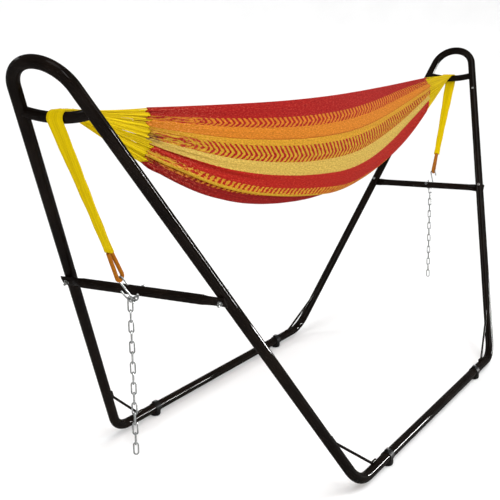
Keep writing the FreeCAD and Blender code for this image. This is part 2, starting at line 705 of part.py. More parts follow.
def make_link(name, middle, length_axis, width_axis):
    """One closed link: a rod swept round a stadium."""
    body = new_body(name)
    spine = sketch_on(body, "XY_Plane", name + "_spine")
    straight = 2 * (LINK_HALF - LINK_SIDE)
    half = LINK_SIDE
    corners = [Vector(0, 0, 0), Vector(straight / 2, 0, 0), Vector(straight / 2, 2 * half, 0),
               Vector(-straight / 2, 2 * half, 0), Vector(-straight / 2, 0, 0)]
    right = Part.Circle(Vector(straight / 2, half, 0), Vector(0, 0, 1), half)
    left = Part.Circle(Vector(-straight / 2, half, 0), Vector(0, 0, 1), half)
    spine.addGeometry(Part.LineSegment(corners[0], corners[1]))
    spine.addGeometry(Part.ArcOfCircle(right, -math.pi / 2, math.pi / 2))
    spine.addGeometry(Part.LineSegment(corners[2], corners[3]))
    spine.addGeometry(Part.ArcOfCircle(left, math.pi / 2, 3 * math.pi / 2))
    spine.addGeometry(Part.LineSegment(corners[4], corners[0]))
    for first, last in (((0, 2), (1, 1)), ((1, 2), (2, 1)), ((2, 2), (3, 1)), ((3, 2), (4, 1))):
        spine.addConstraint(Sketcher.Constraint("Tangent", *first, *last))
    spine.addConstraint(Sketcher.Constraint("Coincident", 4, 2, 0, 1))
    spine.addConstraint(Sketcher.Constraint("Coincident", 0, 1, -1, 1))
    spine.addConstraint(Sketcher.Constraint("Horizontal", 0))
    spine.addConstraint(Sketcher.Constraint("Horizontal", 4))
    spine.addConstraint(Sketcher.Constraint("Equal", 0, 4))
    row = spine.addConstraint(Sketcher.Constraint("Radius", 1, half))
    bind(spine, "Constraints[%d]" % row, "(dims.link_width + dims.link_wire) / 2")
    row = spine.addConstraint(Sketcher.Constraint("Distance", 2, straight))
    bind(spine, "Constraints[%d]" % row, "dims.link_inside - dims.link_width")
    sweep(body, name + "_rod", spine, "dims.link_wire", dim("link_wire"))
    body.Placement = axes(middle - width_axis * half, length_axis, width_axis)
    return body


def pull_direction(end):
    return frame_out(end) * PULL[0] + frame_up(end) * PULL[1]


def top_link_inner(end):
    """The wire's axis at the end of the top link that sits in the eye."""
    contact = dim("eye_wire") / 2 + dim("link_wire") / 2 + dim("link_gap")
    return eye_local(end, EYE_OUT + dim("eye_radius"), 0) - pull_direction(end) * contact


def make_top_link(end_name, end):
    """The link held taut between the eye and the S-hook."""
    pull = pull_direction(end)
    width = pull.cross(ACROSS).normalize()
    middle = top_link_inner(end) + pull * LINK_HALF
    return finish("chain_%s_top_link" % end_name,
                  make_link("chain_%s_top_link" % end_name, middle, pull, width))


TAIL_AT = 23.0
TAIL_SLANT_GAP = 1.6
TAIL_TURN = math.radians(dim("tail_turn"))
TAIL_WIDTHS = (Vector(-math.sin(TAIL_TURN), math.cos(TAIL_TURN), 0),
               Vector(math.cos(TAIL_TURN), math.sin(TAIL_TURN), 0))
LINKS_PER_PIECE = 3
PIECES_PER_TAIL = 5


def tail_start(end):
    """The top link's lower wire, where the loose tail of the chain hangs from it."""
    pull = pull_direction(end)
    down = pull.cross(ACROSS).normalize()
    if down.z > 0:
        down = down * -1
    return top_link_inner(end) + pull * TAIL_AT + down * LINK_SIDE


def make_chain_tail(end_name, end):
    """Fifteen loose links in five nodes of three, turned a quarter from one to the next."""
    contact = dim("link_wire") + dim("link_gap")
    top = tail_start(end) + UP * (contact + TAIL_SLANT_GAP)
    for number in range(PIECES_PER_TAIL):
        name = "chain_%s_tail_%d" % (end_name, number + 1)
        links = []
        for place in range(LINKS_PER_PIECE):
            width = TAIL_WIDTHS[(number * LINKS_PER_PIECE + place) % 2]
            links.append(make_link("%s_link_%d" % (name, place + 1), top - UP * LINK_HALF,
                                   UP * -1, width))
            top = top - UP * (2 * LINK_HALF - contact)
        finish(name, group(name, links))


HOOK_TILT = math.atan2(2 * dim("hook_radius"), dim("hook_shank"))
HOOK_HEIGHT = math.hypot(2 * dim("hook_radius"), dim("hook_shank")) + 2 * dim("hook_radius")


def hook_base(end):
    """The S-hook's lowest wire point, inside the outer end of the top link."""
    contact = dim("hook_wire") / 2 + dim("link_wire") / 2 + dim("link_gap")
    return top_link_inner(end) + pull_direction(end) * (2 * LINK_HALF - contact)


def saddle_point(end, out):
    return in_frame(end, 0, dim("saddle_up"), out)


ROPE_OUT = BAR_R + dim("rope_gap") + dim("rope_thick") / 2


def rope_direction(end):
    """From the S-hook's lower bend to the rope's line down the outside of the saddle bar."""
    return (saddle_point(end, ROPE_OUT) - hook_base(end)).normalize()


def make_s_hook(end_name, end):
    """A wire S in the plane of the rope and the Y axis, its bends one above the other."""
    name = "s_hook_%s" % end_name
    rope = rope_direction(end)
    body = new_body(name)
    spine = sketch_on(body, "XY_Plane", name + "_spine")
    half_turn = math.pi
    path_in(spine, [line_run(dim("hook_tip"), "dims.hook_tip"),
                    bend(dim("hook_radius"), half_turn, "dims.hook_radius"),
                    line_run(dim("hook_shank"), "dims.hook_shank"),
                    bend(dim("hook_radius"), -half_turn, "dims.hook_radius"),
                    line_run(dim("hook_tip"), "dims.hook_tip")])
    sweep(body, name + "_rod", spine, "dims.hook_wire", dim("hook_wire"))
    shank = rope * math.cos(HOOK_TILT) + ACROSS * math.sin(HOOK_TILT)
    side = ACROSS * math.cos(HOOK_TILT) - rope * math.sin(HOOK_TILT)
    bend_centre = hook_base(end) + rope * dim("hook_radius")
    start = bend_centre + side * dim("hook_radius") + shank * dim("hook_tip")
    body.Placement = axes(start, shank * -1, side * -1)
    return finish(name, body)


# ---------------------------------------------------------------- hammock

ROPE_LEAD = 30.0
ROPE_JOIN = 0.2
SWING_GAP = 1.0
WRAP_RADIUS = 13.0
WRAP_LEG = dim("wrap_length") - WRAP_RADIUS - dim("wrap_diameter") / 2
WRAP_TOP = dim("wrap_diameter") / 2 + 0.3
WRAP_CONVERGE = math.asin((WRAP_RADIUS - WRAP_TOP) / WRAP_LEG)
WRAP_PLAY = 0.6


def rope_normal(end):
    out = frame_out(end)
    rope = rope_direction(end)
    return (out - rope * out.dot(rope)).normalize()


def wrap_start(end):
    """Top of the inner leg of the wrapped loop, and the way that leg runs down."""
    rope = rope_direction(end)
    normal = rope_normal(end)
    apex = hook_base(end) + rope * HOOK_HEIGHT
    below = dim("hook_wire") / 2 + dim("wrap_diameter") / 2 + WRAP_PLAY
    centre = apex - rope * (below - WRAP_RADIUS)
    slant_cos = math.cos(WRAP_CONVERGE)
    slant_sin = math.sin(WRAP_CONVERGE)
    heading = normal * -slant_sin - rope * slant_cos
    touch = centre - normal * (WRAP_RADIUS * slant_cos) + rope * (WRAP_RADIUS * slant_sin)
    return touch - heading * WRAP_LEG, heading


def make_wrapped_loop(end_name, end):
    """The loop of cords under its wrapping, round the upper bend of the S-hook."""
    name = "wrapped_loop_%s" % end_name
    body = new_body(name)
    spine = sketch_on(body, "XY_Plane", name + "_spine")
    path_in(spine, [line_run(WRAP_LEG),
                    bend(WRAP_RADIUS, math.pi + 2 * WRAP_CONVERGE),
                    line_run(WRAP_LEG)])
    sweep(body, name + "_bundle", spine, "dims.wrap_diameter", dim("wrap_diameter"))
    start, heading = wrap_start(end)
    body.Placement = axes(start, heading, rope_normal(end))
    return finish(name, body)


def make_end_rope(end_name, end):
    """The flat bundle of end cords over the saddle bar and down to the wrapped loop."""
    name = "end_rope_%s" % end_name
    body = new_body(name)
    inner = BAR_R + dim("rope_gap")
    outer = inner + dim("rope_thick")
    rope = rope_direction(end)
    slope = math.atan2(rope.z, end * rope.x)
    out_angle = slope - math.pi / 2
    start, _ = wrap_start(end)
    run = (saddle_point(end, 0) - start).dot(rope) - ROPE_JOIN
    down = Vector(-math.cos(slope), -math.sin(slope), 0)
    normal = Vector(math.cos(out_angle), math.sin(out_angle), 0)
    top = Vector(0, 1, 0)
    lead = Vector(-ROPE_LEAD, 0, 0)
    sketch = sketch_on(body, "XY_Plane", name + "_profile")
    sketch.addGeometry(Part.LineSegment(lead + top * inner, top * inner))
    for radius in (inner, outer):
        circle = Part.Circle(Vector(), Vector(0, 0, 1), radius)
        sketch.addGeometry(Part.ArcOfCircle(circle, out_angle, math.pi / 2))
    sketch.addGeometry(Part.LineSegment(normal * inner, normal * inner + down * run))
    sketch.addGeometry(Part.LineSegment(normal * inner + down * run, normal * outer + down * run))
    sketch.addGeometry(Part.LineSegment(normal * outer + down * run, normal * outer))
    sketch.addGeometry(Part.LineSegment(top * outer, lead + top * outer))
    sketch.addGeometry(Part.LineSegment(lead + top * outer, lead + top * inner))
    pad = body.newObject("PartDesign::Pad", name + "_pad")
    pad.Profile = sketch
    pad.Length = dim("rope_width")
    bind(pad, "Length", "dims.rope_width")
    pad.Midplane = True
    body.Placement = axes(saddle_point(end, 0), Vector(end, 0, 0), UP)
    return finish(name, body)


SWING_Z = saddle_point(1, 0).z + ROPE_OUT
STATIONS = (-1.0, -0.8, -0.6, -0.35, 0.0, 0.35, 0.6, 0.8, 1.0)
POUCH_STATIONS = (-0.92, -0.8, -0.6, -0.35, 0.0, 0.35, 0.6, 0.8, 0.92)


def bed_rim(part):
    return dim("bed_rim") + (dim("bed_rim_end") - dim("bed_rim")) * part ** 2


def bed_bottom(part):
    end_bottom = dim("bed_rim_end") - dim("bed_end_depth")
    return dim("bed_bottom") + (end_bottom - dim("bed_bottom")) * abs(part) ** 2.3


def bed_half_width(part):
    spread = math.cos(math.pi * part / 2) ** 2
    return dim("bed_end_half") + (dim("bed_half_open") - dim("bed_end_half")) * spread


def trough_section(x, rim, bottom, half_width):
    """A hanging half ellipse closed by a level line across its rims."""
    steps = 8
    points = []
    for step in range(steps + 1):
        angle = math.pi * step / steps
        points.append(Vector(x, -half_width * math.cos(angle), rim - (rim - bottom) * math.sin(angle)))
    curve = Part.BSplineCurve()
    curve.interpolate(points)
    return Part.Wire([curve.toShape(), Part.LineSegment(points[-1], points[0]).toShape()])


def own_shape(name, shape):
    feature = doc.addObject("Part::Feature", name)
    feature.Shape = shape
    return feature


def make_bed():
    """The bed of gathered weave: a long pouch, open along its top."""
    half = dim("bed_half")
    thick = dim("bed_thick")
    outer = Part.makeLoft([trough_section(half * part, bed_rim(part), bed_bottom(part),
                                          bed_half_width(part)) for part in STATIONS], True)
    pouch = Part.makeLoft([trough_section(half * part, bed_rim(part) + 4 * thick,
                                          bed_bottom(part) + thick, bed_half_width(part) - thick)
                           for part in POUCH_STATIONS], True)
    return finish("hammock_bed", own_shape("hammock_bed", outer.cut(pouch)))


def make_end_cords(end_name, end):
    """The fan of end cords between the bed and the saddle bar, as one closed wedge."""
    bed_x = end * dim("bed_half")
    tip_x = saddle_point(end, 0).x - end * (ROPE_LEAD + SWING_GAP)
    half_thick = dim("rope_thick") / 2
    fan = [trough_section(bed_x, bed_rim(1.0), bed_bottom(1.0), bed_half_width(1.0)),
           trough_section(tip_x, SWING_Z + half_thick, SWING_Z - half_thick,
                          dim("rope_width") / 2)]
    name = "end_cords_%s" % end_name
    return finish(name, own_shape(name, Part.makeLoft(fan, True)))


# ---------------------------------------------------------------- the whole model

for end_name, end in ENDS.items():
    for side_name, side in SIDES.items():
        make_leg(end_name, end, side_name, side)
        make_corner_brace(end_name, end, side_name, side)
        make_foot(end_name, end, side_name, side)
    make_arch_head(end_name, end)
    make_saddle_bar(end_name, end)
    make_crossbar(end_name, end)
    make_crossbar_bolts(end_name, end)
    make_arch_screws(end_name, end)
    make_eye_bolt(end_name, end)
    make_eye_nuts(end_name, end)
    make_top_link(end_name, end)
    make_chain_tail(end_name, end)
    make_s_hook(end_name, end)
    make_wrapped_loop(end_name, end)
    make_end_rope(end_name, end)
    make_end_cords(end_name, end)
for side_name, side in SIDES.items():
    make_base_tube(side_name, side)
make_foot_screws()
make_bed()

doc.recompute()

faults = []
for item in doc.Objects:
    if "Invalid" in item.State or "Error" in item.State:
        faults.append("%s is %s" % (item.Label, item.State))
for piece in finished:
    if piece.Shape.isNull() or not piece.Shape.isValid() or piece.Shape.Volume <= 0:
        faults.append("%s has no valid shape" % piece.Label)
if faults:
    raise SystemExit("\n".join(faults))

os.makedirs("parts", exist_ok=True)
for piece in finished:
    piece.Shape.exportStep("parts/%s.step" % piece.Label)
print("%d nodes written" % len(finished))
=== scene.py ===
"""Looks of the hammock on its stand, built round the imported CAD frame. Metres, +Z up."""
import json
import math

import bpy
import numpy as np
from mathutils import Matrix, Vector


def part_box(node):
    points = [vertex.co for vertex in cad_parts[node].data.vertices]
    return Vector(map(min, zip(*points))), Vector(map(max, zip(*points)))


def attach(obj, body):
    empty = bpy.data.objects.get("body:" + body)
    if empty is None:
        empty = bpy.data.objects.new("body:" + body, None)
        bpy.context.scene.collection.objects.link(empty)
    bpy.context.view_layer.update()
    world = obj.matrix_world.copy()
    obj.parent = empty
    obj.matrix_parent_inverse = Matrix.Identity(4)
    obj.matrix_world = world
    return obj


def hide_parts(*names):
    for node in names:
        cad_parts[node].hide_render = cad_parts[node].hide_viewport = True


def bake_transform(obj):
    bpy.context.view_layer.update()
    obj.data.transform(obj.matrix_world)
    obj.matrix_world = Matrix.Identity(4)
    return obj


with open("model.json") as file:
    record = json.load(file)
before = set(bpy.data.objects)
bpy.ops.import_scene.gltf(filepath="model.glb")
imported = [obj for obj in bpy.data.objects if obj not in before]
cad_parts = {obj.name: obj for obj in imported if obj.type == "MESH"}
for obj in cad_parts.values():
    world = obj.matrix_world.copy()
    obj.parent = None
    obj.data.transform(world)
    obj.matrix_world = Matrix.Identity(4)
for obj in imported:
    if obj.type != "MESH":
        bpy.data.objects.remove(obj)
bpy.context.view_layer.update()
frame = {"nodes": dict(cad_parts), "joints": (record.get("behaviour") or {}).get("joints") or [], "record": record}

ENDS = {"a": -1, "b": 1}
RNG = np.random.default_rng(7)
JOINTS = {joint["name"]: joint for joint in frame["joints"]}


# ---------------------------------------------------------------- camera, floor and light

CAMERA_PLACE = Vector((-3.604, -1.726, 1.496))
CAMERA_YAW = 0.524
CAMERA_PITCH = -0.207
CAMERA_ROLL = -0.013
CAMERA_LENS = 68.8


def make_camera():
    data = bpy.data.cameras.new("camera")
    data.sensor_width = 36.0
    data.lens = CAMERA_LENS
    data.clip_end = 100.0
    camera = bpy.data.objects.new("camera", data)
    forward = Vector((math.cos(CAMERA_PITCH) * math.cos(CAMERA_YAW),
                      math.cos(CAMERA_PITCH) * math.sin(CAMERA_YAW), math.sin(CAMERA_PITCH)))
    right = Vector((math.sin(CAMERA_YAW), -math.cos(CAMERA_YAW), 0.0))
    up = right.cross(forward)
    rolled = right * math.cos(CAMERA_ROLL) + up * math.sin(CAMERA_ROLL)
    upright = rolled.cross(forward)
    camera.matrix_world = Matrix((
        (rolled.x, upright.x, -forward.x, CAMERA_PLACE.x),
        (rolled.y, upright.y, -forward.y, CAMERA_PLACE.y),
        (rolled.z, upright.z, -forward.z, CAMERA_PLACE.z),
        (0.0, 0.0, 0.0, 1.0)))
    bpy.context.scene.collection.objects.link(camera)
    bpy.context.scene.camera = camera


# Each light: its name, place, what it points at, its two sizes and its watts.
MIDDLE = (0.0, 0.0, 0.8)
SOFT_PANELS = (("key", (-3.4, -3.6, 3.6), MIDDLE, (0.9, 2.2), 100.0),
               ("strip", (2.6, -4.6, 3.2), MIDDLE, (0.5, 2.4), 50.0),
               ("rim", (-1.0, 4.6, 3.6), MIDDLE, (3.0, 0.8), 60.0))
# These only show as bright lines along the glossy tubes.
GLINT_PANELS = (("leg_glint", (2.38, -4.60, 1.74), (-1.4, -0.2, 1.1), (0.28, 2.0), 950.0),
                ("base_glint", (4.2, -3.3, 0.75), (-0.5, -0.5, 0.05), (0.9, 0.3), 480.0))
WORLD_STRENGTH = 0.55
SUN_STRENGTH = 1.5
SUN_SPREAD = math.radians(35.0)
SUN_WAY = (0.35, 0.55, -1.6)


def area_light(name, place, target, size, watts):
    data = bpy.data.lights.new(name, "AREA")
    data.shape = "RECTANGLE"
    data.size, data.size_y = size
    data.energy = watts
    light = bpy.data.objects.new(name, data)
    light.location = place
    toward = Vector(target) - Vector(place)
    light.rotation_euler = toward.to_track_quat("-Z", "Y").to_euler()
    light.visible_camera = False
    bpy.context.scene.collection.objects.link(light)
    return light


def make_studio():
    world = bpy.data.worlds.new("studio")
    world.use_nodes = True
    background = world.node_tree.nodes["Background"]
    background.inputs["Color"].default_value = (1.0, 1.0, 1.0, 1.0)
    background.inputs["Strength"].default_value = WORLD_STRENGTH
    bpy.context.scene.world = world
    bpy.context.scene.view_settings.view_transform = "Standard"
    floor = bpy.data.objects.new("floor", floor_bowl())
    bpy.context.scene.collection.objects.link(floor)
    floor.data.materials.append(floor_material())
    sun = bpy.data.lights.new("sky_sun", "SUN")
    sun.energy = SUN_STRENGTH
    sun.angle = SUN_SPREAD
    high = bpy.data.objects.new("sky_sun", sun)
    high.rotation_euler = Vector(SUN_WAY).to_track_quat("-Z", "Y").to_euler()
    bpy.context.scene.collection.objects.link(high)
    for panel in SOFT_PANELS:
        area_light(*panel)
    for panel in GLINT_PANELS:
        area_light(*panel).visible_diffuse = False


def floor_bowl():
    """A flat round floor whose far edge turns up into a pale wall, as in a photographer's studio."""
    middle, flat, turn, height = 4.0, 11.0, 4.0, 9.0
    spokes, turn_steps = 96, 12
    profile = [(middle, 0.0), (flat, 0.0)]
    profile += [(flat + turn * math.sin(a), turn * (1 - math.cos(a)))
                for a in np.linspace(0.0, math.pi / 2, turn_steps + 1)[1:]]
    profile.append((flat + turn, height))
    angle = np.arange(spokes) * 2 * math.pi / spokes
    points = [(r * math.cos(a), r * math.sin(a), z) for r, z in profile for a in angle]
    faces = [tuple(range(spokes))] + list(quads_of(len(profile), spokes, True))
    return mesh_of("floor", points, faces, {})


# ---------------------------------------------------------------- node graphs

class Graph:
    """A material's nodes, added by short calls that return their output sockets."""

    def __init__(self, name):
        self.material = bpy.data.materials.new(name)
        self.material.use_nodes = True
        self.tree = self.material.node_tree
        self.shader = self.tree.nodes["Principled BSDF"]

    def node(self, kind, **settings):
        made = self.tree.nodes.new(kind)
        for key, value in settings.items():
            setattr(made, key, value)
        return made

    def feed(self, socket, value):
        if isinstance(value, bpy.types.NodeSocket):
            self.tree.links.new(value, socket)
        else:
            socket.default_value = value

    def math(self, operation, first, second=0.0, third=0.0, clamp=False):
        made = self.node("ShaderNodeMath", operation=operation, use_clamp=clamp)
        for index, value in enumerate((first, second, third)):
            self.feed(made.inputs[index], value)
        return made.outputs[0]

    def mix(self, share, first, second, blend="MIX"):
        made = self.node("ShaderNodeMix", data_type="RGBA", blend_type=blend)
        self.feed(made.inputs[0], share)
        self.feed(made.inputs[6], first)
        self.feed(made.inputs[7], second)
        return made.outputs[2]

    def ramp(self, value, stops, interpolation="LINEAR"):
        made = self.node("ShaderNodeValToRGB")
        ramp = made.color_ramp
        ramp.interpolation = interpolation
        while len(ramp.elements) < len(stops):
            ramp.elements.new(1.0)
        for element, (place, colour) in zip(ramp.elements, stops):
            element.position = place
            element.color = colour if len(colour) == 4 else (*colour, 1.0)
        self.feed(made.inputs[0], value)
        return made.outputs[0]

    def place(self):
        return self.node("ShaderNodeTexCoord").outputs["Object"]

    def uv(self, name):
        made = self.node("ShaderNodeSeparateXYZ")
        self.tree.links.new(self.node("ShaderNodeUVMap", uv_map=name).outputs[0], made.inputs[0])
        return made.outputs[0], made.outputs[1]

    def noise(self, scale, detail=2.0, vector=None, roughness=0.5):
        made = self.node("ShaderNodeTexNoise")
        made.inputs["Scale"].default_value = scale
        made.inputs["Detail"].default_value = detail
        made.inputs["Roughness"].default_value = roughness
        self.feed(made.inputs["Vector"], vector or self.place())
        return made.outputs[0]

    def drawn_noise(self, first, second, scales, detail, roughness=0.5):
        """Noise over two values, each with its own scale."""
        vector = self.vector(self.math("MULTIPLY", first, scales[0]),
                             self.math("MULTIPLY", second, scales[1]))
        return self.noise(1.0, detail, vector, roughness)

    def vector(self, x, y):
        made = self.node("ShaderNodeCombineXYZ")
        for index, value in enumerate((x, y)):
            self.feed(made.inputs[index], value)
        return made.outputs[0]

    def bump(self, height, strength, distance, before=None):
        made = self.node("ShaderNodeBump")
        made.inputs["Strength"].default_value = strength
        made.inputs["Distance"].default_value = distance
        self.feed(made.inputs["Height"], height)
        if before is not None:
            self.feed(made.inputs["Normal"], before)
        return made.outputs[0]

    def finish(self, colour, roughness, normal=None, **constants):
        self.feed(self.shader.inputs["Base Color"], colour)
        self.feed(self.shader.inputs["Roughness"], roughness)
        if normal is not None:
            self.feed(self.shader.inputs["Normal"], normal)
        for name, value in constants.items():
            self.shader.inputs[name.replace("_", " ")].default_value = value
        return self.material


def floor_material():
    g = Graph("studio_floor")
    tone = g.ramp(g.noise(1.5), ((0.3, (0.90, 0.90, 0.90)), (0.7, (0.93, 0.93, 0.93))))
    return g.finish(tone, 0.8, Specular_IOR_Level=0.05)


# ---------------------------------------------------------------- hard materials

def tube_material():
    """Gloss powder coat, a very dark bronze, with the fine ripple of a sprayed coat."""
    g = Graph("tube_powder_coat")
    cloud = g.noise(scale=9.0, detail=3.0)
    colour = g.ramp(cloud, ((0.35, (0.0035, 0.0023, 0.0017)), (0.65, (0.0075, 0.0049, 0.0036))))
    rough = g.ramp(g.noise(scale=30.0, detail=4.0), ((0.3, (0.16,) * 3), (0.75, (0.27,) * 3)))
    ripple = g.bump(g.noise(scale=420.0, detail=1.0), 0.10, 0.0004)
    return g.finish(colour, rough, ripple, Coat_Weight=0.07, Coat_Roughness=0.03,
                    Specular_IOR_Level=0.0)


def zinc_material():
    """Zinc plate: bright, slightly clouded, with drawn lines and a few dull spots."""
    g = Graph("zinc_plate")
    cloud = g.noise(scale=140.0, detail=4.0)
    colour = g.ramp(cloud, ((0.30, (0.12, 0.125, 0.125)), (0.62, (0.27, 0.275, 0.27)),
                            (0.85, (0.42, 0.42, 0.405))))
    rough = g.ramp(g.noise(scale=260.0, detail=3.0), ((0.3, (0.26,) * 3), (0.7, (0.46,) * 3)))
    grain = g.bump(g.noise(scale=900.0, detail=2.0), 0.12, 0.0003)
    return g.finish(colour, rough, grain, Metallic=0.92)


def foot_material():
    """Black moulded plastic with a fine spark-eroded grain."""
    g = Graph("foot_moulding")
    colour = g.ramp(g.noise(scale=25.0, detail=3.0),
                    ((0.3, (0.004, 0.0038, 0.0036)), (0.7, (0.009, 0.0085, 0.008))))
    rough = g.ramp(g.noise(scale=120.0, detail=2.0), ((0.3, (0.42,) * 3), (0.7, (0.58,) * 3)))
    grain = g.bump(g.noise(scale=1400.0, detail=2.0), 0.25, 0.0003)
    return g.finish(colour, rough, grain, Specular_IOR_Level=0.03)


# ---------------------------------------------------------------- soft materials

TWIST_PITCH = 0.009
CORD_STRANDS = 2
# How much of a cord's tone comes from the painted shade in the grooves of its twist, from its fibres and from the
# slow change along it.
CORD_TONES = (0.16, 0.30, 0.80)
CORD_CLOUD = 1.7
# Added to the distance along each next cord, so that no two cords carry the same marks.
CORD_PHASE = 7.313


def mixed_tone(g, values, shares):
    """Three values added up, each with its share."""
    first, second, third = (g.math("MULTIPLY", v, s) for v, s in zip(values, shares))
    return g.math("ADD", g.math("ADD", first, second), third, clamp=True)


def cord_material(name, dark, light):
    """Twisted cord, with painted shade in the grooves between its strands. Its tube's UV is the distance along it
    and the share of the way round it.
    """
    g = Graph(name)
    along, around = g.uv("cord")
    turn = g.math("ADD", g.math("DIVIDE", along, TWIST_PITCH), g.math("MULTIPLY", around, CORD_STRANDS))
    wave = g.math("ABSOLUTE", g.math("SINE", g.math("MULTIPLY", turn, math.pi)))
    fibre = g.noise(scale=900.0, detail=3.0)
    cloud = g.noise(1.0, 1.0, g.vector(g.math("MULTIPLY", along, CORD_CLOUD), 0.5))
    # The twist's wave darkens the grooves between the strands: painted shade.
    tone = mixed_tone(g, (wave, fibre, cloud), CORD_TONES)
    colour = g.ramp(tone, ((0.32, dark), (0.90, light)))
    twist = g.bump(wave, 0.35, 0.0004)
    return g.finish(colour, 0.82, g.bump(fibre, 0.3, 0.0003, twist), Specular_IOR_Level=0.02)


RED = (0.345, 0.0080, 0.0060)
# A darker red painted on the cloth under the lip, on the keel and on the far side: painted shade.
SHADE_DARKENED_RED = (0.250, 0.0036, 0.0028)
BRIGHT_RED = (0.395, 0.0100, 0.0040)
ORANGE = (0.600, 0.190, 0.012)
# A darker orange painted along the crease at the edge of the orange and gold stripes: painted shade of that
# crease.
CREASE_SHADE_ORANGE = (0.44, 0.115, 0.006)
GOLD = (0.585, 0.285, 0.016)
PALE = (0.590, 0.395, 0.075)
YELLOW = (0.54, 0.300, 0.016)
# Each stripe: its upper edge, its ground and the colour of its strokes. The edge is a share of
# the way from a rim (0) to the lip (1) and the keel.
KEEL = 1.4
STRIPES = ((0.0, RED, RED), (0.167, ORANGE, RED), (0.273, ORANGE, ORANGE),
           (0.386, CREASE_SHADE_ORANGE, CREASE_SHADE_ORANGE), (0.398, GOLD, GOLD),
           (0.464, YELLOW, RED), (0.629, PALE, PALE),
           (0.772, BRIGHT_RED, BRIGHT_RED), (0.912, BRIGHT_RED, GOLD), (0.968, YELLOW, YELLOW),
           (1.0, SHADE_DARKENED_RED, ORANGE), (1.13, SHADE_DARKENED_RED, SHADE_DARKENED_RED))
# How far the strokes of the patterned stripes lean along the bed, as a share of CHEVRON_LEAN.
LEAN_AT = ((0.0, 0.0), (0.167, 0.0), (0.222, 0.62), (0.273, 0.0), (0.464, 0.0), (0.572, 1.0),
           (0.629, 0.30), (0.64, 0.0), (0.912, 0.5), (0.968, 0.0), (1.0, 0.0),
           (1.06, 0.7), (1.13, 0.0))
CHEVRON_PITCH = 0.0315
CHEVRON_LEAN = 0.042
NET_ALONG = 0.0052
NET_ACROSS = 0.0030
# Scales of the cloth's noises, along it and across it.
WANDER_SCALE = (60.0, 9.0)
STREAK_SCALE = (18.0, 52.0)
FLECK_SCALE = (170.0, 520.0)
MOTTLE_SCALE = (70.0, 150.0)
STRIPE_FRAY = 0.010
STROKE_WANDER = 0.022
# Slope and start, by distance along the bed, of the gathering toward end a and toward end b.
GATHER_A = (-4.0, -3.35)
GATHER_B = (3.6, -3.5)
# Slope and start of the streaks, the mottled edge of a stroke, and the edge of a stroke.
STREAK_GAIN = (7.0, -3.6)
MOTTLE_GAIN = (2.4, -1.2)
STROKE_GAIN = (3.0, 0.55)
# Pale threads: how much gathering adds to them, how much they show in flat cloth, their colour.
PALE_GATHERED = 0.30
PALE_FLAT = 0.10
PALE_THREAD = (0.75, 0.42, 0.24, 1.0)
# The dark brown patch near end a: how far toward end a it lies, its place among the stripes, and its
# half sizes along the bed and across the stripes.
DARK_PATCH_AT = 1.256
DARK_PATCH_BAND = 0.60
DARK_PATCH_LONG = 0.075
DARK_PATCH_WIDE = 0.115
DARK_PATCH_COLOUR = (0.050, 0.018, 0.016, 1.0)


def weave_material():
    """Loose weave in lengthwise stripes, some of them with strokes that make arrow heads."""
    g = Graph("bed_weave")
    along, band = g.uv("stripes")
    _, across = g.uv("cloth")
    wander = g.drawn_noise(along, band, WANDER_SCALE, 3.0)
    fleck = g.drawn_noise(along, across, FLECK_SCALE, 4.0, 0.7)
    mottle = g.drawn_noise(along, across, MOTTLE_SCALE, 2.0, 0.6)
    streak = g.math("MULTIPLY_ADD", g.drawn_noise(along, band, STREAK_SCALE, 3.0, 0.6), *STREAK_GAIN)
    # Where the cloth is gathered the strokes are drawn out into streaks along it.
    gathered = g.math("MAXIMUM", g.math("MULTIPLY_ADD", along, *GATHER_A),
                      g.math("MULTIPLY_ADD", along, *GATHER_B), clamp=True)
    frayed = g.math("ADD", band, g.math("MULTIPLY", g.math("SUBTRACT", wander, 0.5), STRIPE_FRAY))
    inside = stroke_share(g, along, frayed, wander, mottle, streak, gathered)
    grounds = [(edge / KEEL, ground) for edge, ground, _ in STRIPES]
    strokes = [(edge / KEEL, stroke) for edge, _, stroke in STRIPES]
    colour = g.mix(inside, g.ramp(frayed, grounds, "CONSTANT"), g.ramp(frayed, strokes, "CONSTANT"))
    shade = g.math("ADD", g.math("MULTIPLY", mottle, 0.45), g.math("MULTIPLY", fleck, 0.55))
    depth = g.ramp(shade, ((0.36, (0.50,) * 3), (0.63, (1.24,) * 3)))
    colour = g.mix(1.0, colour, depth, "MULTIPLY")
    pale = g.ramp(shade, ((0.52, (0.0,) * 3), (0.66, (1.0,) * 3)))
    pale_share = g.math("MULTIPLY", pale, g.math("MULTIPLY_ADD", gathered, PALE_GATHERED, PALE_FLAT))
    colour = g.mix(pale_share, colour, PALE_THREAD)
    colour = g.mix(dark_patch_share(g, along, band, streak), colour, DARK_PATCH_COLOUR)
    strands = g.bump(net_height(g, along, across), 0.4, 0.0008)
    return g.finish(colour, 0.88, g.bump(fleck, 0.45, 0.0008, strands), Specular_IOR_Level=0.02)


def stroke_share(g, along, frayed, wander, mottle, streak, gathered):
    """Where the strokes of the patterned stripes lie: leaning bars, or streaks in gathered cloth."""
    lean = g.ramp(frayed, [(edge / KEEL, (share,) * 3) for edge, share in LEAN_AT])
    slid = g.math("SUBTRACT", along, g.math("MULTIPLY", lean, CHEVRON_LEAN))
    slid = g.math("ADD", slid, g.math("MULTIPLY", wander, STROKE_WANDER))
    wave = g.math("SINE", g.math("MULTIPLY", slid, 2 * math.pi / CHEVRON_PITCH))
    wave = g.math("ADD", g.math("MULTIPLY", wave, g.math("SUBTRACT", 1.0, gathered)),
                  g.math("MULTIPLY", streak, gathered))
    wave = g.math("ADD", wave, g.math("MULTIPLY_ADD", mottle, *MOTTLE_GAIN))
    return g.math("MULTIPLY_ADD", wave, *STROKE_GAIN, clamp=True)


